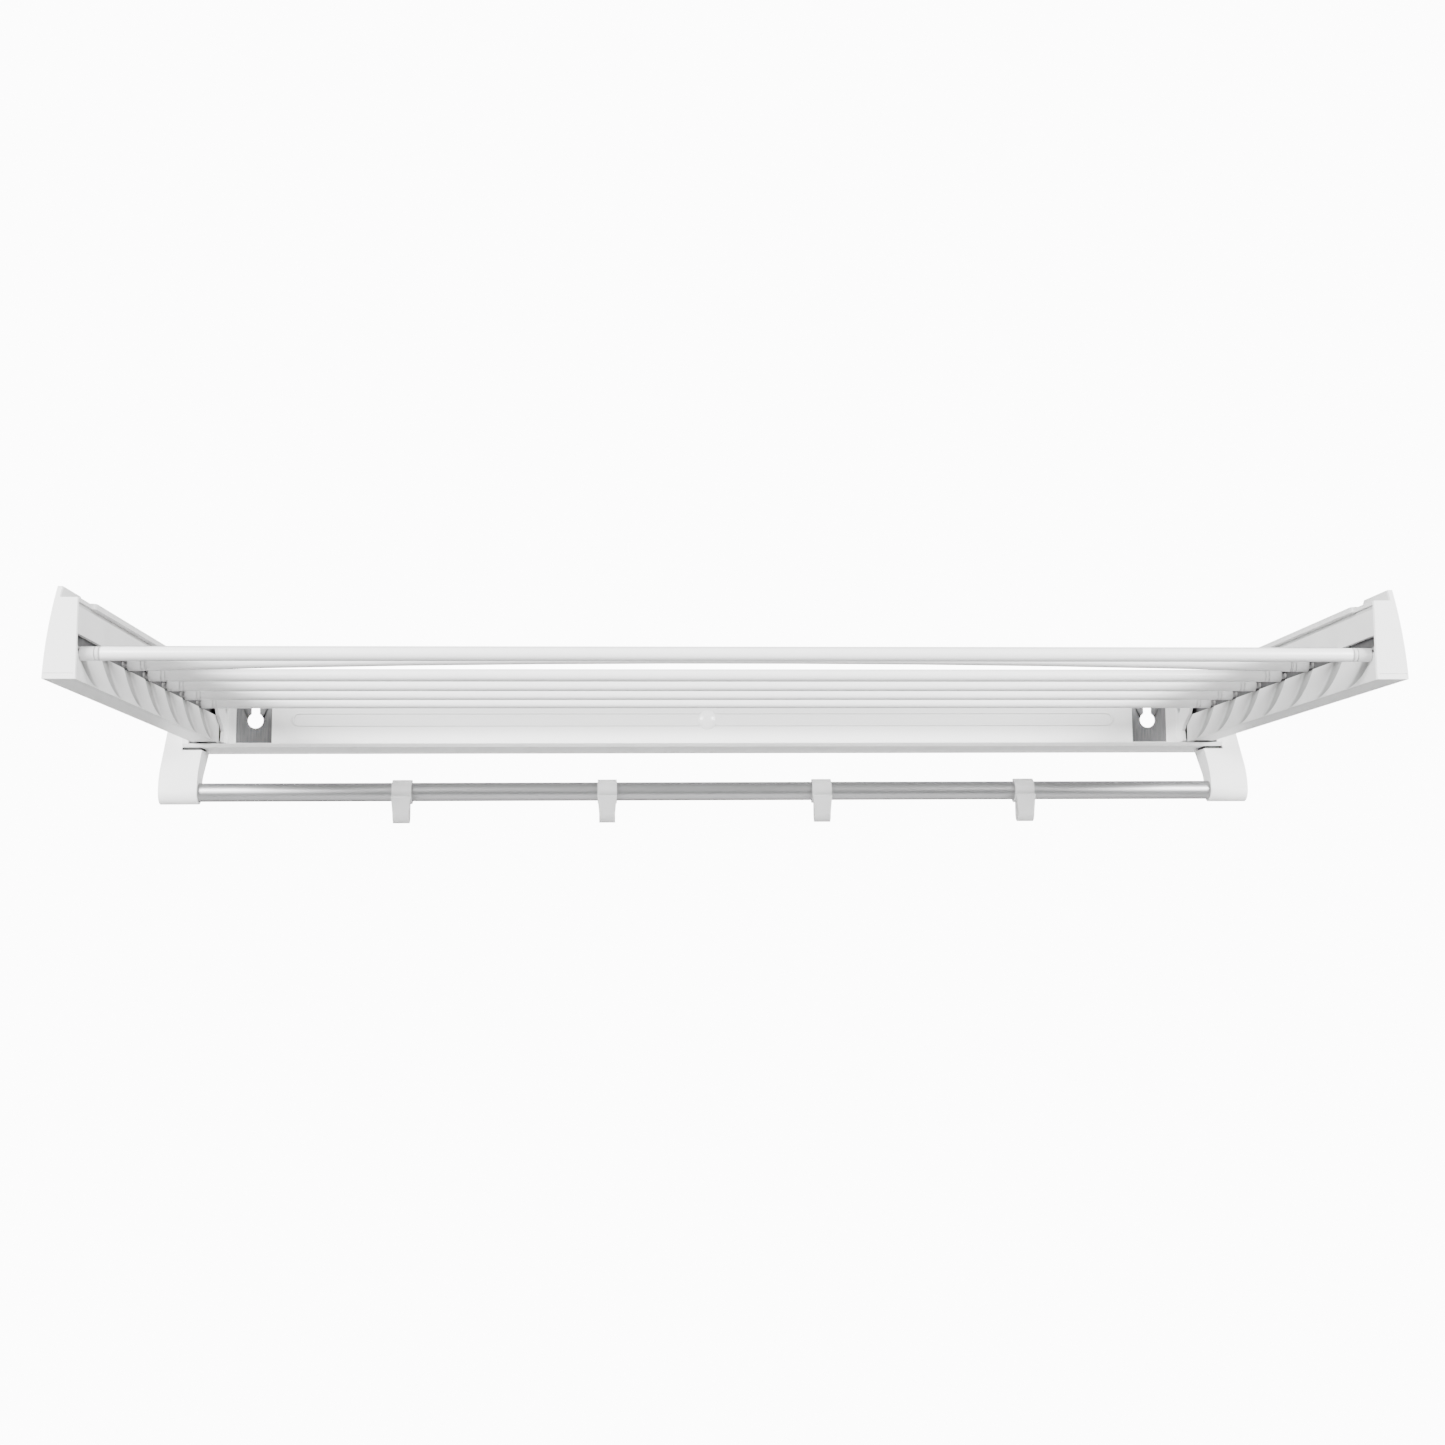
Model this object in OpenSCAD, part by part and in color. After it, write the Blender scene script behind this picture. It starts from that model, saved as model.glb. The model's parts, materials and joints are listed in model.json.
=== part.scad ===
// Wall mounted fold up drying rack: wall rail with keyhole plates, two moulded
// arms carrying seven rods, and a towel bar with sliding hooks under the rail.
// Frame: X along the rail, Y into the wall (wall plane Y = 0), Z up.
// Z = 0 is the level of the rear six rod axes. Millimetres.

/* [Arms] */
// half distance between the inner faces of the arms
arm_in = 459.5; // [300:0.5:600]
// width of an arm at its base
arm_w = 23; // [16:0.1:36]
// front face of the arm end caps
arm_front = -506.7; // [-700:0.1:-300]
// rear end of the arms
arm_back = -44; // [-60:1:-40]
// underside of the arms
arm_bot = -28.9; // [-40:0.1:-20]
// top of the end caps
cap_top = 28.4; // [20:0.1:40]
// top of the deck and of its inward rim
rim_top = 29.6; // [20:0.1:40]
// top of the outer wall lip
lip_top = 36.2; // [28:0.1:46]
// depth of a flute in the lower inner wall
flute_depth = 2.6; // [0.4:0.1:3.2]
// thickness of the outer wall
wall_t = 3.4; // [2:0.1:5]
// lower edge of the rod slot
slot_lo = -4.6; // [-8:0.1:-3]
// upper edge of the rod slot
slot_hi = 3.4; // [3:0.1:8]

/* [Rods] */
// outside diameter of a rod
rod_d = 10; // [6:0.5:16]
// wall of a rod tube
rod_wall = 0.8; // [0.5:0.1:2]
// axis of the front rod, measured from the wall
rod_front = -495.8; // [-700:0.1:-300]
// spacing of the rods
rod_pitch = 60.4; // [30:0.1:90]
// level of the front rod axis
rod_1_z = -9.8; // [-16:0.1:0]
// length of a rod end cap
rod_cap_len = 14; // [8:1:24]
// upward bow of the third rod at its middle
rod_3_bow = 6; // [0.5:0.5:8]

/* [Rail] */
// half length of the wall rail
rail_half = 491; // [300:1:700]
// front face of the rail skin
rail_face = -12; // [-24:0.5:-8]
// top of the rail
rail_top = 30; // [20:1:60]
// front edge of the ledge
ledge_front = -71.4; // [-90:0.1:-50]
// top face of the ledge
ledge_top = -30.4; // [-45:0.1:-22]
// thickness of the ledge
ledge_t = 3.4; // [2:0.1:5]
// half distance between the keyholes
key_x = 436.7; // [200:0.1:600]
// level of the keyhole heads
key_z = -2; // [-10:0.1:10]
// keyhole head radius
key_r = 7.4; // [4:0.1:10]
// keyhole neck radius
key_neck_r = 3.9; // [2:0.1:6]

/* [Hinge] */
// pivot distance from the wall
piv_y = -50; // [-80:0.5:-46]
// pivot level
piv_z = 4; // [-8:0.5:8]
// hinge pin radius
pin_r = 4; // [3:0.5:6]
// running clearance of the hinge pin
pin_gap = 0.05; // [0.01:0.01:0.1]

/* [Towel bar] */
// towel bar diameter
bar_d = 17.2; // [12:0.1:25]
// bar axis distance from the wall
bar_y = -76; // [-100:0.5:-50]
// bar axis level
bar_z = -76.5; // [-100:0.5:-60]
// inner face of a bar bracket
brk_in = 473; // [400:0.5:600]
// outer face of a bar bracket
brk_out = 508; // [450:0.5:650]
// width of a hook
hook_w = 17.8; // [10:0.5:30]

/* [Hidden] */
$fn = 64;
arm_out = arm_in + arm_w;
tube_end = arm_in - 0.4 - rod_cap_len;
cap_end = arm_in - 0.4;
// outer wall arc: centre and radius of the curved outer face
arc_x = arm_out - 353.03;
arc_z = -45.05;
arc_r = 353.4;
y0 = arm_front + 3;
in_t = 3;
low_t = 4;
in_back = -62;
floor_t = 3;
hook_x = [-286.6, -96.9, 103.6, 295.1];
white = [0.93, 0.93, 0.92];
coat = [0.95, 0.95, 0.94];
steel = [0.55, 0.56, 0.57];
alu = [0.78, 0.78, 0.79];
grey = [0.3, 0.3, 0.3];

function rod_y(k) = rod_front + rod_pitch * (k - 1);
function rod_z(k) = k == 1 ? rod_1_z : 0;

module side(s) {
    if (s > 0) children();
    else mirror([1, 0, 0]) children();
}

module box(x0, x1, ya, yb, z0, z1) {
    translate([x0, ya, z0]) cube([x1 - x0, yb - ya, z1 - z0]);
}

module xcyl(x0, x1, y, z, r, fn = 64) {
    translate([x0, y, z]) rotate([0, 90, 0]) cylinder(r = r, h = x1 - x0, $fn = fn);
}

module ycyl(ya, yb, x, z, r, fn = 64) {
    translate([x, yb, z]) rotate([90, 0, 0]) cylinder(r = r, h = yb - ya, $fn = fn);
}

// block with the arm's side outline: rounded rear corners
module arm_side(x0, x1, ya, zt) {
    box(x0, x1, ya, arm_back - 12, arm_bot, zt);
    box(x0, x1, ya, arm_back, arm_bot + 10, rim_top - 11);
    box(x0, x1, ya, arm_back - 10, arm_bot, arm_bot + 12);
    xcyl(x0, x1, arm_back - 10, arm_bot + 10, 10);
    intersection() {
        xcyl(x0, x1, arm_back - 12, rim_top - 11, 12);
        box(x0, x1, ya, arm_back + 1, arm_bot, zt);
    }
}

// outer wall and floor of the right arm
module arm_shell() {
    color(white) intersection() {
        union() {
            difference() {
                ycyl(y0, arm_back, arc_x, arc_z, arc_r, 360);
                ycyl(y0 - 1, arm_back + 1, arc_x, arc_z, arc_r - wall_t, 360);
            }
            intersection() {
                ycyl(y0, arm_back, arc_x, arc_z, arc_r - wall_t / 2, 360);
                box(arm_in + low_t, arm_out, y0, arm_back, arm_bot, arm_bot + floor_t);
            }
        }
        difference() {
            arm_side(arm_in, arm_out + 1, y0, lip_top);
            box(arm_in, arm_out - 3.5, -73, -57, arm_bot - 1, arm_bot + floor_t + 1);
            rotate([90, 0, 90]) linear_extrude(arm_out + 5)
                polygon([[-466, lip_top + 1], [-462, lip_top - 1.5], [-456, rim_top + 1],
                    [arm_back + 1, rim_top + 1], [arm_back + 1, lip_top + 1]]);
        }
    }
}

// deck, upper inner panel, the rim that widens behind a small jog, shadow groove
module arm_top() {
    deck = rim_top - 1.2;
    jog = arm_front + 37;
    low = rim_top - 4;
    color(white) difference() {
        union() {
            intersection() {
                union() {
                    intersection() {
                        ycyl(y0, arm_back, arc_x, arc_z, arc_r - wall_t, 360);
                        box(arm_in, arm_out, y0, arm_back, deck - 1.8, deck);
                    }
                    box(arm_in, arm_in + in_t, y0, in_back, slot_hi, deck);
                }
                arm_side(arm_in, arm_out, y0, rim_top);
            }
            box(arm_in - 3.4, arm_in + 3, jog, -95, low, rim_top);
            translate([arm_in, jog, low]) scale([1.7, 2, 1]) cylinder(r = 2, h = rim_top - low);
            box(arm_in - 0.6, arm_in + 3, y0, -95, low, rim_top - 1);
        }
        box(arm_in - 1, arm_in + 1.2, y0 - 1, -95, low - 3, low);
    }
}

// lower inner wall: one curved flute below each rod, fading into a plain foot
module fluted_wall() {
    color(white) difference() {
        box(arm_in, arm_in + low_t, y0, in_back, arm_bot, slot_lo);
        xcyl(arm_in - 1, arm_in + low_t + 1, rod_y(1), rod_1_z, 2.7);
        for (k = [1 : 7]) {
            flute(rod_y(k));
        }
    }
}

// one flute: steep front edge and rising floor, swept on a large leaning ring
module flute(y) {
    intersection() {
        box(arm_in - 1, arm_in + low_t - 0.5, max(y - 12, y0 + 1), y + 66, arm_bot, slot_lo + 1);
        translate([arm_in, y - 3, 0]) rotate([0, 0, 2.8]) translate([0, 53, 57])
            rotate([0, 90, 0]) rotate_extrude($fn = 360)
                polygon([[86.9, -2], [86.5, 0], [86, flute_depth], [85, flute_depth],
                    [70, 0], [61, -2]]);
    }
}

// dark strip behind the slot, carrying the necks of the rods
module rod_carrier() {
    color(grey) difference() {
        box(arm_in + low_t, arm_in + 6, y0 + 1, -67, -15, 7.5);
        for (k = [1 : 7]) {
            xcyl(arm_in + low_t - 1, arm_in + 7, rod_y(k), rod_z(k), 2.6);
        }
    }
}

// front end cap of the right arm
module end_cap() {
    color(white) difference() {
        union() {
            intersection() {
                ycyl(arm_front, y0, arc_x, arc_z, arc_r, 360);
                union() {
                    box(arm_in, arm_out + 1, arm_front, y0, arm_bot, cap_top);
                    difference() {
                        box(arm_in, arm_out + 1, arm_front, y0, cap_top - 1, lip_top);
                        ycyl(arm_front - 1, y0 + 1, arc_x, arc_z, arc_r - wall_t, 360);
                    }
                }
            }
            box(arm_in + 4.3, arm_in + 13, y0 - 1, y0 + 11, arm_bot + floor_t + 0.2, arm_bot + 11);
            box(arm_in + 4.3, arm_in + 11, y0 - 1, y0 + 11, 8, 24);
        }
        box(arm_in + 1.5, arm_out - 1.2, arm_front - 1, arm_front + 0.4,
            arm_bot + 3.3, arm_bot + 4);
    }
}

// rear heel inside the arm, carrying the pivot bore
module arm_heel() {
    color(grey) difference() {
        intersection() {
            union() {
                box(arm_in + low_t, arm_in + 13.5, -66, arm_back, arm_bot + floor_t, 16);
                box(arm_in + 2.2, arm_in + 5, -61.5, arm_back, arm_bot + floor_t, 12);
            }
            arm_side(arm_in, arm_out, -80, lip_top);
        }
        xcyl(arm_in, arm_in + 18, piv_y, piv_z, pin_r + pin_gap, 96);
    }
}

module rod_tube(k) {
    color(coat) if (k == 3) {
        half = tube_end - 0.4;
        rr = (half * half + rod_3_bow * rod_3_bow) / (2 * rod_3_bow);
        intersection() {
            translate([0, rod_y(k), rod_3_bow - rr]) rotate([90, 0, 0])
                rotate_extrude($fn = 7200)
                    translate([rr, 0]) difference() {
                        circle(r = rod_d / 2, $fn = 48);
                        circle(r = rod_d / 2 - rod_wall, $fn = 48);
                    }
            box(-half, half, rod_y(k) - 10, rod_y(k) + 10, -10, 30);
        }
    } else {
        difference() {
            xcyl(-tube_end, tube_end, rod_y(k), rod_z(k), rod_d / 2);
            xcyl(-tube_end - 1, tube_end + 1, rod_y(k), rod_z(k), rod_d / 2 - rod_wall);
        }
    }
}

// end cap with two seam grooves, plug, neck and head of one rod, right side
module rod_cap(k) {
    plug = k == 3 ? 3 : 12;
    y = rod_y(k);
    z = rod_z(k);
    r = rod_d / 2;
    color(white) union() {
        xcyl(tube_end - plug, tube_end + 1, y, z, r - rod_wall - 0.12);
        xcyl(tube_end, cap_end, y, z, r - 0.6);
        xcyl(tube_end, tube_end + 0.6, y, z, r);
        xcyl(tube_end + 1.3, tube_end + 3.6, y, z, r);
        xcyl(tube_end + 4.3, cap_end, y, z, r);
        xcyl(cap_end - 1, arm_in + 7, y, z, 2.5);
        xcyl(arm_in + 6.3, arm_in + 7.6, y, z, 4);
    }
}

module back_rail() {
    color(white) union() {
        difference() {
            box(-rail_half, rail_half, rail_face, rail_face + 3, ledge_top, rail_top);
            for (s = [-1, 1]) {
                box(min(s * 420.3, s * 455), max(s * 420.3, s * 455),
                    rail_face - 1, rail_face + 4, -24, 24);
            }
        }
        box(-rail_half, rail_half, rail_face, 0, rail_top - 3, rail_top);
        box(-10, 10, rail_face + 2, 0, ledge_top, rail_top);
        for (s = [-1, 1]) {
            box(s * 140 - 1.5, s * 140 + 1.5, rail_face + 2, 0, ledge_top, rail_top);
            box(s * 280 - 1.5, s * 280 + 1.5, rail_face + 2, 0, ledge_top, rail_top);
            box(s * 405 - 1.5, s * 405 + 1.5, rail_face + 2, 0, ledge_top, rail_top);
            box(s * 465 - 1.5, s * 465 + 1.5, rail_face + 2, 0, ledge_top, rail_top);
            box(s * 489.5 - 1.5, s * 489.5 + 1.5, rail_face + 2, 0, ledge_top, rail_top);
        }
        difference() {
            stadium(401, 6.6, rail_face - 0.9, rail_face + 0.5);
            stadium(399.6, 5.2, rail_face - 2, rail_face + 2);
            ycyl(rail_face - 2, rail_face, 0, key_z, 9.8);
        }
    }
}

// long rounded bar standing on the rail face
module stadium(half, r, ya, yb) {
    box(-half + r, half - r, ya, yb, -1.2 - r, -1.2 + r);
    ycyl(ya, yb, -half + r, -1.2, r);
    ycyl(ya, yb, half - r, -1.2, r);
}

module ledge() {
    low = ledge_top - ledge_t;
    color(white) rotate([90, 0, 90]) translate([0, 0, -rail_half])
        linear_extrude(2 * rail_half)
            polygon([[ledge_front, ledge_top], [ledge_front, ledge_top - 0.5],
                [ledge_front + 2.6, low], [0, low], [0, ledge_top]]);
}

module keyhole_plate() {
    color(steel) difference() {
        box(417.5, 457.5, rail_face + 3, rail_face + 5, -27, 26.8);
        ycyl(rail_face, rail_face + 8, key_x, key_z, key_r);
        ycyl(rail_face, rail_face + 8, key_x, key_z + 13, key_neck_r);
        box(key_x - key_neck_r, key_x + key_neck_r, rail_face, rail_face + 8, key_z, key_z + 13);
    }
}

// flat lug beside the arm: pivot bore, slanted front edge and a short foot
module hinge_block() {
    x0 = arm_in - 3.9;
    x1 = arm_in - 0.8;
    color(white) difference() {
        union() {
            translate([x0, 0, 0]) rotate([90, 0, 90]) linear_extrude(x1 - x0)
                polygon([[rail_face, -28], [-61, -28], [-58.3, -18], [-64.4, -12.4],
                    [-80, -5], [-86, 2], [-85, 10], [-74, 18], [rail_face, 18]]);
            box(x0 - 1.6, x0 + 0.5, -47, -43.5, -28, 12);
        }
        xcyl(x0 - 2, x1 + 1, piv_y, piv_z, pin_r + 0.03, 96);
    }
}

module hinge_pin() {
    color(steel) xcyl(arm_in - 4, arm_in + 14.5, piv_y, piv_z, pin_r, 96);
}

module end_cheek() {
    color(white) union() {
        box(485.2, rail_half, ledge_front + 16, rail_face, ledge_top, 14);
        box(485.2, rail_half, ledge_front, rail_face, ledge_top, -2);
        xcyl(485.2, rail_half, ledge_front + 16, -2, 16);
    }
}

module stop_pad() {
    color(grey) box(arm_in + 3, arm_in + 20, ledge_front + 11, ledge_front + 17,
        ledge_top, ledge_top + 1.1);
}

module centre_cap() {
    color(white) translate([0, rail_face, key_z]) rotate([90, 0, 0])
        rotate_extrude() intersection() {
            translate([0, -10.4]) circle(r = 14.1, $fn = 96);
            translate([0, 0]) square([9.5, 6]);
        }
}

function arc(cy, cz, r, a0, a1, n) =
    [for (i = [0 : n]) let (a = a0 + (a1 - a0) * i / n) [cy + r * cos(a), cz + r * sin(a)]];

// curved bracket: neck below the ledge, cheek beside the rail end, round nose
module bar_bracket() {
    nose = 11;
    top = ledge_top - ledge_t;
    lip = top - 2.6;
    front = arc(bar_y - nose + 45, bar_z, 45, 180, 147, 12);
    lean = tan(33);
    edge = front[12];
    rear = arc(bar_y + nose + 20, bar_z + 4, 20, 138, 180, 12);
    back = rear[0];
    neck = concat(front, [[edge[0] + (lip - edge[1]) * lean, lip], [-46, lip], [-46, top],
        [back[0] + (top - back[1]) * 0.9, top]], rear, [[bar_y + nose, bar_z]]);
    cheek = [[edge[0] + (lip - edge[1]) * lean, lip], [edge[0] + (-14 - edge[1]) * lean, -14],
        [-50, -11], [-26, -11], [-26, -26], [back[0] + (top - back[1]) * 0.9, lip]];
    color(white) difference() {
        union() {
            translate([brk_in, 0, 0]) rotate([90, 0, 90]) linear_extrude(brk_out - brk_in)
                polygon(neck);
            translate([rail_half + 0.3, 0, 0]) rotate([90, 0, 90])
                linear_extrude(brk_out - rail_half - 0.3) polygon(cheek);
            xcyl(brk_in, brk_out, bar_y, bar_z, nose);
        }
        xcyl(brk_in - 1, brk_in + 9, bar_y, bar_z, bar_d / 2 + 0.05);
    }
}

// dark strip closing the gap between ledge and bracket
module bracket_gasket() {
    top = ledge_top - ledge_t;
    color(grey) box(brk_in + 1.5, rail_half - 1, ledge_front + 4, -46.3, top - 2.6, top);
}

module towel_bar() {
    color(alu) difference() {
        xcyl(-brk_in - 8, brk_in + 8, bar_y, bar_z, bar_d / 2);
        xcyl(-brk_in - 9, brk_in + 9, bar_y, bar_z, bar_d / 2 - 1.2);
    }
}

// clip on hook: split ring round the bar with a curled tongue below it
module hook(x) {
    half = hook_w / 2;
    narrow = half - 1.5;
    tip = 15.8;
    ro = bar_d / 2 + 2.6;
    cy = bar_y - 7;
    cz = bar_z - 21.5;
    color(white) translate([x, 0, 0]) union() {
        difference() {
            xcyl(-half, half, bar_y, bar_z, ro);
            xcyl(-half - 1, half + 1, bar_y, bar_z, bar_d / 2 + 0.05);
            translate([-half - 1, bar_y, bar_z]) rotate([35, 0, 0])
                translate([0, 0, -6]) cube([hook_w + 2, 20, 12]);
        }
        box(-narrow, narrow, cy + 5.4, cy + 8, cz, bar_z - bar_d / 2 - 1);
        difference() {
            xcyl(-narrow, narrow, cy, cz, 8);
            xcyl(-narrow - 1, narrow + 1, cy, cz, 5.4);
            box(-narrow - 1, narrow + 1, cy - 10, cy + 10, cz, cz + 10);
        }
        translate([0, cy - 5.4, cz]) rotate([90, 0, 0]) linear_extrude(2.6)
            polygon([[-narrow, -0.01], [narrow, -0.01], [half, tip], [-half, tip]]);
        xcyl(-half, half, cy - 6.7, cz + tip, 1.3);
    }
}

back_rail();
ledge();
side(-1) keyhole_plate();  // left_keyhole_plate
side(1) keyhole_plate();  // right_keyhole_plate
side(-1) hinge_block();  // left_hinge_block
side(1) hinge_block();  // right_hinge_block
side(-1) end_cheek();  // left_end_cheek
side(1) end_cheek();  // right_end_cheek
centre_cap();
side(-1) bar_bracket();  // left_bar_bracket
side(1) bar_bracket();  // right_bar_bracket
towel_bar();
side(-1) hinge_pin();  // left_hinge_pin
side(1) hinge_pin();  // right_hinge_pin
side(-1) stop_pad();  // left_stop_pad
side(1) stop_pad();  // right_stop_pad
side(-1) bracket_gasket();  // left_bracket_gasket
side(1) bracket_gasket();  // right_bracket_gasket
side(-1) arm_shell();  // left_arm_shell
side(1) arm_shell();  // right_arm_shell
side(-1) arm_top();  // left_arm_top
side(1) arm_top();  // right_arm_top
side(-1) fluted_wall();  // left_fluted_wall
side(1) fluted_wall();  // right_fluted_wall
side(-1) end_cap();  // left_end_cap
side(1) end_cap();  // right_end_cap
side(-1) arm_heel();  // left_arm_heel
side(1) arm_heel();  // right_arm_heel
side(-1) rod_carrier();  // left_rod_carrier
side(1) rod_carrier();  // right_rod_carrier
rod_tube(1);  // rod_tube_1
rod_tube(2);  // rod_tube_2
rod_tube(3);  // rod_tube_3
rod_tube(4);  // rod_tube_4
rod_tube(5);  // rod_tube_5
rod_tube(6);  // rod_tube_6
rod_tube(7);  // rod_tube_7
side(-1) rod_cap(1);  // left_rod_cap_1
side(-1) rod_cap(2);  // left_rod_cap_2
side(-1) rod_cap(3);  // left_rod_cap_3
side(-1) rod_cap(4);  // left_rod_cap_4
side(-1) rod_cap(5);  // left_rod_cap_5
side(-1) rod_cap(6);  // left_rod_cap_6
side(-1) rod_cap(7);  // left_rod_cap_7
side(1) rod_cap(1);  // right_rod_cap_1
side(1) rod_cap(2);  // right_rod_cap_2
side(1) rod_cap(3);  // right_rod_cap_3
side(1) rod_cap(4);  // right_rod_cap_4
side(1) rod_cap(5);  // right_rod_cap_5
side(1) rod_cap(6);  // right_rod_cap_6
side(1) rod_cap(7);  // right_rod_cap_7
hook(hook_x[0]);  // hook_1
hook(hook_x[1]);  // hook_2
hook(hook_x[2]);  // hook_3
hook(hook_x[3]);  // hook_4
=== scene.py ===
"""Looks of the wall mounted drying rack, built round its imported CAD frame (metres)."""

import json
import math

import bpy
from mathutils import Matrix, Vector


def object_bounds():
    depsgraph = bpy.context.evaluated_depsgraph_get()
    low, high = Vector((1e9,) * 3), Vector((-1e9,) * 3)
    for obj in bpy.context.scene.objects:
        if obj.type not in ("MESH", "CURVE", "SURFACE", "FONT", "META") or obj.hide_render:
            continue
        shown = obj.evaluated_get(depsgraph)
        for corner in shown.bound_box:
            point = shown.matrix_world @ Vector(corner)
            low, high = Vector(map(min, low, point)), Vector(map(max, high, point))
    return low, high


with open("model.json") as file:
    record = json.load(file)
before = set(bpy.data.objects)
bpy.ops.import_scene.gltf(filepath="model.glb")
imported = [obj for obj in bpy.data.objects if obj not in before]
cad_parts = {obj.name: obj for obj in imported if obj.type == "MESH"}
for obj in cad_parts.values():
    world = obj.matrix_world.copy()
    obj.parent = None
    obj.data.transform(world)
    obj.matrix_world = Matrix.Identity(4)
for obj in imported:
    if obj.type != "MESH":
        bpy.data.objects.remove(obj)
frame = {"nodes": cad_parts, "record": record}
cad_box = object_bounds()

# ---------------------------------------------------------------- camera and light
CAMERA_AT = (-0.0789, -1.7704, -0.2008)   # in front of the rack, left of its middle, below it
LOOK_UP = 6.358                           # degrees above the horizon
LOOK_RIGHT = 3.048                        # degrees towards +X
CAMERA_ROLL = -0.387                      # degrees, anticlockwise
LENS = 45.18                              # mm on a 36 mm sensor
FLOOR_DROP = 1.7                          # floor below the lowest point of the rack
FLOOR_SIZE = 3.6                          # small enough to stay below the photograph's view
SKY = 0.85                                # soft studio light from above
GROUND = 0.25                             # and from below
PAPER = 12.0                              # brightness of the backdrop itself


# ---------------------------------------------------------------- materials
class Shader:
    """A principled material with small helpers for its node tree."""

    def __init__(self, name, **sockets):
        self.mat = bpy.data.materials.new(name)
        self.mat.use_nodes = True
        self.tree = self.mat.node_tree
        self.bsdf = self.tree.nodes["Principled BSDF"]
        source = self.node("ShaderNodeTexCoord")
        self.coords, self.facing = source.outputs["Object"], source.outputs["Normal"]
        for key, value in sockets.items():
            self.bsdf.inputs[key.replace("_", " ")].default_value = value

    def node(self, kind, **settings):
        made = self.tree.nodes.new(kind)
        for key, value in settings.items():
            setattr(made, key, value)
        return made

    def link(self, out, into):
        self.tree.links.new(out, into)

    def noise(self, scale, stretch=(1, 1, 1), detail=4.0, roughness=0.55, distortion=0.0):
        """Noise of about `scale` cells a metre, stretched by the given factors."""
        mapping = self.node("ShaderNodeMapping")
        mapping.inputs["Scale"].default_value = stretch
        self.link(self.coords, mapping.inputs["Vector"])
        tex = self.node("ShaderNodeTexNoise")
        tex.inputs["Scale"].default_value = scale
        tex.inputs["Detail"].default_value = detail
        tex.inputs["Roughness"].default_value = roughness
        tex.inputs["Distortion"].default_value = distortion
        self.link(mapping.outputs["Vector"], tex.inputs["Vector"])
        return tex.outputs["Fac"]

    def ramp(self, fac, low, high, low_at=0.35, high_at=0.65):
        """Colour from low to high as fac runs from low_at to high_at."""
        ramp = self.node("ShaderNodeValToRGB")
        ends = ramp.color_ramp.elements
        ends[0].position, ends[1].position = low_at, high_at
        ends[0].color, ends[1].color = (*low, 1), (*high, 1)
        self.link(fac, ramp.inputs["Fac"])
        return ramp.outputs["Color"]

    def spread(self, fac, low, high):
        """A number from low to high as fac runs over noise's usual span."""
        span = self.node("ShaderNodeMapRange")
        span.inputs["From Min"].default_value = 0.3
        span.inputs["From Max"].default_value = 0.7
        span.inputs["To Min"].default_value = low
        span.inputs["To Max"].default_value = high
        self.link(fac, span.inputs["Value"])
        return span.outputs["Result"]

    def step(self, value, low, high):
        """A soft step from 0 to 1 as value runs from low to high."""
        made = self.node("ShaderNodeMapRange", interpolation_type="SMOOTHSTEP")
        made.inputs["From Min"].default_value = low
        made.inputs["From Max"].default_value = high
        self.link(value, made.inputs["Value"])
        return made.outputs["Result"]

    def sideways(self, vector, low, high):
        """0 to 1 as the size of a vector's X part runs from low to high."""
        split = self.node("ShaderNodeSeparateXYZ")
        self.link(vector, split.inputs["Vector"])
        size = self.node("ShaderNodeMath", operation="ABSOLUTE")
        self.link(split.outputs["X"], size.inputs[0])
        return self.step(size.outputs["Value"], low, high)

    def mix(self, fac, a, b, blend="MIX"):
        mixer = self.node("ShaderNodeMix", data_type="RGBA", blend_type=blend)
        if isinstance(fac, (int, float)):
            mixer.inputs["Factor"].default_value = fac
        else:
            self.link(fac, mixer.inputs["Factor"])
        for socket, value in ((mixer.inputs[6], a), (mixer.inputs[7], b)):
            if isinstance(value, tuple):
                socket.default_value = (*value, 1)
            else:
                self.link(value, socket)
        return mixer.outputs[2]

    def bump(self, height, distance, strength=1.0, under=None):
        made = self.node("ShaderNodeBump")
        made.inputs["Distance"].default_value = distance
        made.inputs["Strength"].default_value = strength
        self.link(height, made.inputs["Height"])
        if under is not None:
            self.link(under, made.inputs["Normal"])
        return made.outputs["Normal"]

    def finish(self, colour, roughness, normal=None):
        self.link(colour, self.bsdf.inputs["Base Color"])
        self.link(roughness, self.bsdf.inputs["Roughness"])
        if normal is not None:
            self.link(normal, self.bsdf.inputs["Normal"])
        return self.mat


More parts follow.
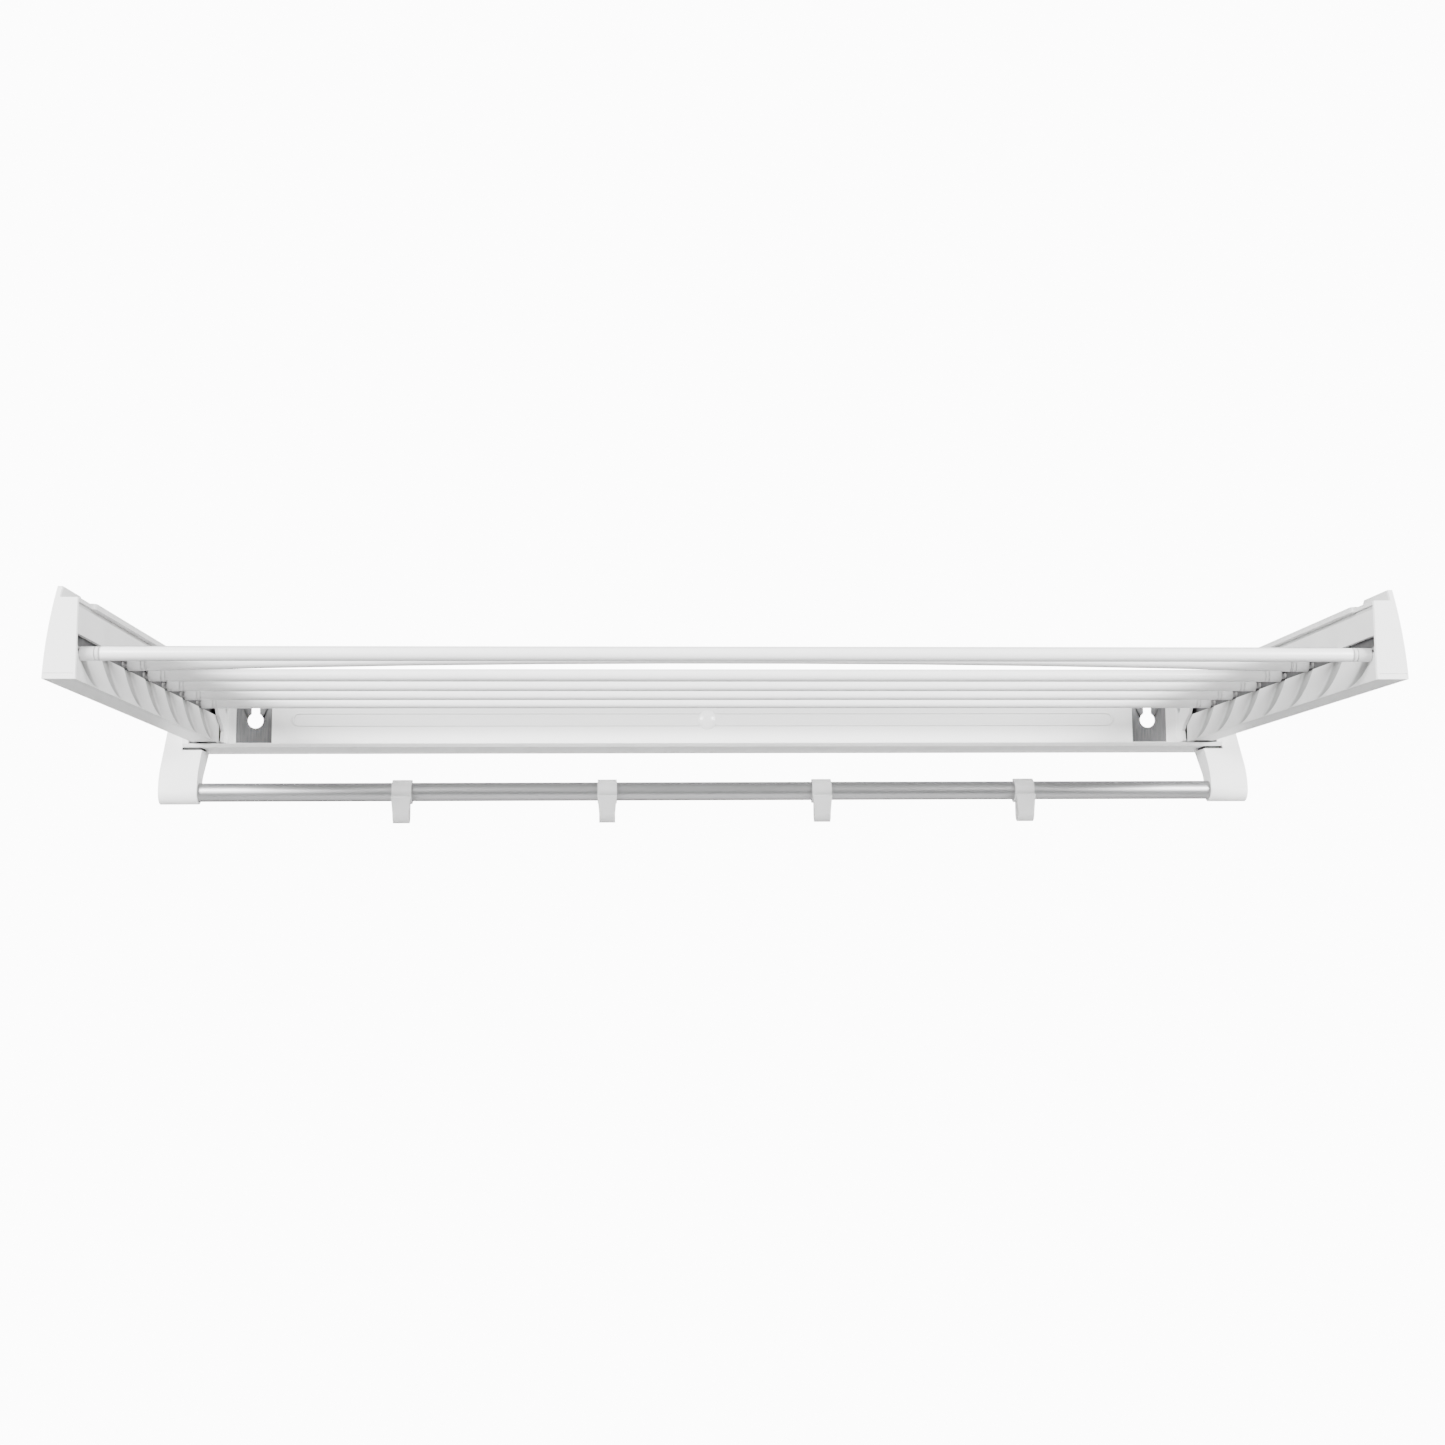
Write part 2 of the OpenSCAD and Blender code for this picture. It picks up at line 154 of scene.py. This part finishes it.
def moulded_plastic(name, tone, gloss=0.42, grain=0.00003, cloud=0.012, recess_shade=None, top_shade=None):
    """Injection moulded plastic: fine eroded grain, faint flow clouding, scuffs.

    recess_shade = (shallow, deep, tint): how far from the middle of the rack the moulded
    channels begin and end, in metres, and how much painted shade darkens their floors.
    Only floors facing sideways get the painted shade.
    top_shade = (low, high, tint): heights between which the face behind the rods greys with painted shade.
    """
    s = Shader(name, IOR=1.47)
    r, g, b = tone
    shade = tuple(c - cloud for c in tone)
    colour = s.ramp(s.noise(9, detail=3), shade, tone, 0.4, 0.6)
    dust = s.ramp(s.noise(140, detail=6, roughness=0.7), tuple(c * 0.965 for c in tone), (r, g, b), 0.28, 0.42)
    colour = s.mix(0.35, colour, dust)
    # painted shade: channel floors facing sideways are darkened by tint, more the deeper they lie
    if recess_shade:
        shallow, deep, tint = recess_shade
        depth = s.sideways(s.coords, shallow, deep)
        facing = s.sideways(s.facing, 0.8, 0.95)
        floor = s.node("ShaderNodeMath", operation="MULTIPLY")
        s.link(depth, floor.inputs[0])
        s.link(facing, floor.inputs[1])
        colour = s.mix(floor.outputs["Value"], colour, tuple(c * tint for c in tone))
    # painted shade: the face is darkened by tint towards the top, standing in for the shade under the rods
    if top_shade:
        low, high, tint = top_shade
        split = s.node("ShaderNodeSeparateXYZ")
        s.link(s.coords, split.inputs["Vector"])
        rise = s.step(split.outputs["Z"], low, high)
        colour = s.mix(rise, colour, tuple(c * tint for c in tone))
    scuff = s.noise(260, stretch=(1, 1, 0.15), detail=5, roughness=0.6)
    rough = s.spread(scuff, gloss - 0.05, gloss + 0.07)
    fine = s.bump(s.noise(2600, detail=3), grain, 0.5)
    wave = s.bump(s.noise(24, detail=2), 0.00012, 0.25, under=fine)
    return s.finish(colour, rough, wave)


def powder_coat(name, tone, ends=None):
    """White powder coat on tube: orange peel, a soft sheen, painted shade on the underside.

    ends = (inner, outer, tint): how far from the middle of the rack, in metres, the
    tube's painted shade begins and stops greying towards the arms.
    """
    s = Shader(name, IOR=1.5)
    s.bsdf.inputs["Coat Weight"].default_value = 0.25
    s.bsdf.inputs["Coat Roughness"].default_value = 0.25
    low = tuple(c - 0.012 for c in tone)
    colour = s.ramp(s.noise(14, detail=3), low, tone, 0.4, 0.6)
    specks = s.ramp(s.noise(900, detail=2), tuple(c * 0.94 for c in tone), tone, 0.27, 0.33)
    colour = s.mix(0.5, colour, specks)
    split = s.node("ShaderNodeSeparateXYZ")
    s.link(s.facing, split.inputs["Vector"])
    # painted shade: faces turned downwards are darkened to 0.62 of the tone
    colour = s.mix(s.step(split.outputs["Z"], -0.3, -1.0), colour, tuple(c * 0.62 for c in tone))
    # painted shade: the tube greys towards the arms, standing in for the shade the arms cast on it
    if ends:
        inner, outer, tint = ends
        arm_shade_mask = s.sideways(s.coords, inner, outer)
        colour = s.mix(arm_shade_mask, colour, tuple(c * tint for c in tone))
    rough = s.spread(s.noise(70, detail=4), 0.3, 0.42)
    peel = s.bump(s.noise(700, detail=2), 0.00006, 0.35)
    return s.finish(colour, rough, peel)


def brushed_metal(name, light, dark, stretch, scale=500, rough=(0.24, 0.42)):
    """Metal with fine lines drawn along its length."""
    s = Shader(name, Metallic=1.0)
    lines = s.noise(scale, stretch=stretch, detail=5, roughness=0.65)
    colour = s.ramp(lines, dark, light, 0.3, 0.7)
    stain = s.ramp(s.noise(18, detail=5, roughness=0.6), tuple(c * 0.9 for c in light), light, 0.35, 0.6)
    colour = s.mix(0.4, colour, stain, "MULTIPLY")
    return s.finish(colour, s.spread(lines, *rough), s.bump(lines, 0.00003, 0.35))


def soft_pad(name, tone):
    """Dark rubber with a fine pebbled face."""
    s = Shader(name, IOR=1.5)
    pebble = s.noise(1400, detail=3)
    colour = s.ramp(pebble, tuple(c * 0.85 for c in tone), tone)
    return s.finish(colour, s.spread(pebble, 0.7, 0.85), s.bump(pebble, 0.0001, 0.6))


LOOKS = {
    # painted shade: this plastic darkens from z -0.024 up to z -0.006, standing in for the shade behind the
    # rods
    "rail_plastic": moulded_plastic("rail_plastic", (0.9, 0.9, 0.896), top_shade=(-0.024, -0.006, 0.55)),
    "arm_plastic": moulded_plastic("arm_plastic", (0.6, 0.6, 0.597)),
    "end_cap_plastic": moulded_plastic("end_cap_plastic", (0.83, 0.83, 0.827), gloss=0.5),
    "rod_cap_plastic": moulded_plastic("rod_cap_plastic", (0.56, 0.56, 0.56), gloss=0.48),
    "hook_plastic": moulded_plastic("hook_plastic", (0.56, 0.56, 0.56), gloss=0.45),
    "rod_coating": powder_coat("rod_coating", (0.83, 0.83, 0.83)),
    "plate_steel": brushed_metal("plate_steel", (0.32, 0.32, 0.325), (0.2, 0.2, 0.205), (1, 1, 0.05), 900, (0.38, 0.55)),
    "pin_steel": brushed_metal("pin_steel", (0.6, 0.6, 0.61), (0.45, 0.45, 0.46), (0.05, 1, 1), 1200),
    "bar_aluminium": brushed_metal("bar_aluminium", (0.45, 0.45, 0.455), (0.38, 0.38, 0.385), (0.0004, 1, 1), 1500, (0.4, 0.5)),
    # dark rubber of the stop pads; the gaskets in this slot also stand as painted shade in the gap between
    # ledge and brackets
    "pad_rubber": soft_pad("pad_rubber", (0.05, 0.05, 0.05)),
    "carrier_plastic": moulded_plastic("carrier_plastic", (0.055, 0.055, 0.056), gloss=0.55, cloud=0.004),
}
# pieces whose material differs from the rest of their slot; rod tubes and caps 3 to 7 get darker copies as
# painted shade, for the shade the rack casts on them
SHADED_ROD = powder_coat("rod_coating_painted_shade", (0.83, 0.83, 0.83), ends=(0.372, 0.438, 0.55))
SHADED_CAP = moulded_plastic("rod_cap_painted_shade", (0.4, 0.4, 0.4), gloss=0.48)
VARIANTS = {
    "centre_cap": moulded_plastic("dome_plastic", (0.58, 0.58, 0.577), gloss=0.22),
    # painted shade in the flutes of the lower arm walls and in the groove along the arm tops
    "fluted_wall": moulded_plastic("fluted_plastic", (0.55, 0.55, 0.547), recess_shade=(0.45955, 0.4602, 0.45)),
    "arm_top": moulded_plastic("grooved_plastic", (0.58, 0.58, 0.577), recess_shade=(0.4597, 0.4605, 0.75)),
    **{f"rod_tube_{k}": SHADED_ROD for k in range(3, 8)},
    **{f"rod_cap_{k}": SHADED_CAP for k in range(3, 8)},
}
EDGE = {
    "back_rail": 0.0004, "ledge": 0.0003, "rod": 0.00025, "arm": 0.0004, "fluted": 0.0003,
    "bracket": 0.0006, "hook": 0.0005,
}   # metres of rounding on moulded edges, by part of the node's name


def dress(node, mat, edge):
    """Gives a CAD node its material and softens its moulded edges."""
    node.data.materials.clear()
    node.data.materials.append(mat)
    weld = node.modifiers.new("weld", "WELD")
    weld.merge_threshold = 1e-6
    bevel = node.modifiers.new("edge", "BEVEL")
    bevel.width = edge
    bevel.segments = 3
    bevel.limit_method = "ANGLE"
    bevel.angle_limit = math.radians(40)
    bevel.harden_normals = True


slots = {s["node"]: s["material_slot"] for s in frame["record"]["subparts"]}
for name, node in frame["nodes"].items():
    width = next((w for key, w in EDGE.items() if key in name), 0.0005)
    variant = next((mat for key, mat in VARIANTS.items() if key in name), None)
    dress(node, variant or LOOKS[slots[name]], width)

# ---------------------------------------------------------------- stage
lo = cad_box[0]


def plain(name, tone, roughness):
    s = Shader(name)
    rough = s.spread(s.noise(6), roughness - 0.05, roughness + 0.05)
    return s.finish(s.ramp(s.noise(3), tuple(c - 0.01 for c in tone), tone), rough)


bpy.ops.mesh.primitive_plane_add(size=FLOOR_SIZE, location=(0, -0.6, lo.z - FLOOR_DROP))
floor = bpy.context.object
floor.name = "floor"
floor.data.materials.append(plain("floor_paper", (0.82, 0.82, 0.82), 0.7))

# soft white studio, brighter above than below; seen directly it burns out to white paper
world = bpy.data.worlds.new("studio")
bpy.context.scene.world = world
world.use_nodes = True
studio = world.node_tree


def studio_node(kind):
    return studio.nodes.new(kind)


lit = studio.nodes["Background"]
seen = studio_node("ShaderNodeBackground")
seen.inputs["Strength"].default_value = PAPER
for shade in (lit, seen):
    shade.inputs["Color"].default_value = (1, 1, 1, 1)
split = studio_node("ShaderNodeSeparateXYZ")
height = studio_node("ShaderNodeMapRange")
height.interpolation_type = "SMOOTHSTEP"
for key, value in (("From Min", -0.6), ("From Max", 0.7), ("To Min", GROUND), ("To Max", SKY)):
    height.inputs[key].default_value = value
studio.links.new(studio_node("ShaderNodeTexCoord").outputs["Generated"], split.inputs["Vector"])
studio.links.new(split.outputs["Z"], height.inputs["Value"])
studio.links.new(height.outputs["Result"], lit.inputs["Strength"])
choose = studio_node("ShaderNodeMixShader")
studio.links.new(studio_node("ShaderNodeLightPath").outputs["Is Camera Ray"], choose.inputs["Fac"])
studio.links.new(lit.outputs["Background"], choose.inputs[1])
studio.links.new(seen.outputs["Background"], choose.inputs[2])
studio.links.new(choose.outputs["Shader"], studio.nodes["World Output"].inputs["Surface"])


def softbox(name, at, look_at, size, power):
    data = bpy.data.lights.new(name, "AREA")
    data.shape = "RECTANGLE"
    data.size, data.size_y = size
    data.energy = power
    lamp = bpy.data.objects.new(name, data)
    bpy.context.collection.objects.link(lamp)
    lamp.location = at
    lamp.rotation_mode = "QUATERNION"
    lamp.rotation_quaternion = (Vector(look_at) - Vector(at)).to_track_quat("-Z", "Y")
    return lamp


softbox("left_box", (-2.6, -2.35, 1.0), (0, -0.25, 0), (1.5, 1.3), 410)
softbox("right_box", (2.6, -2.35, 1.0), (0, -0.25, 0), (1.5, 1.3), 365)

# ---------------------------------------------------------------- camera
pitch, yaw, roll = (math.radians(a) for a in (LOOK_UP, LOOK_RIGHT, CAMERA_ROLL))
ahead = Vector((math.sin(yaw) * math.cos(pitch), math.cos(yaw) * math.cos(pitch), math.sin(pitch)))
level = Vector((math.cos(yaw), -math.sin(yaw), 0))
right = Matrix.Rotation(-roll, 3, ahead) @ level
above = right.cross(ahead)
camera = bpy.data.objects.new("camera", bpy.data.cameras.new("camera"))
bpy.context.collection.objects.link(camera)
camera.data.sensor_width = 36
camera.data.lens = LENS
camera.data.clip_start, camera.data.clip_end = 0.01, 100
camera.matrix_world = Matrix.Translation(CAMERA_AT) @ Matrix((right, above, -ahead)).transposed().to_4x4()
bpy.context.scene.camera = camera
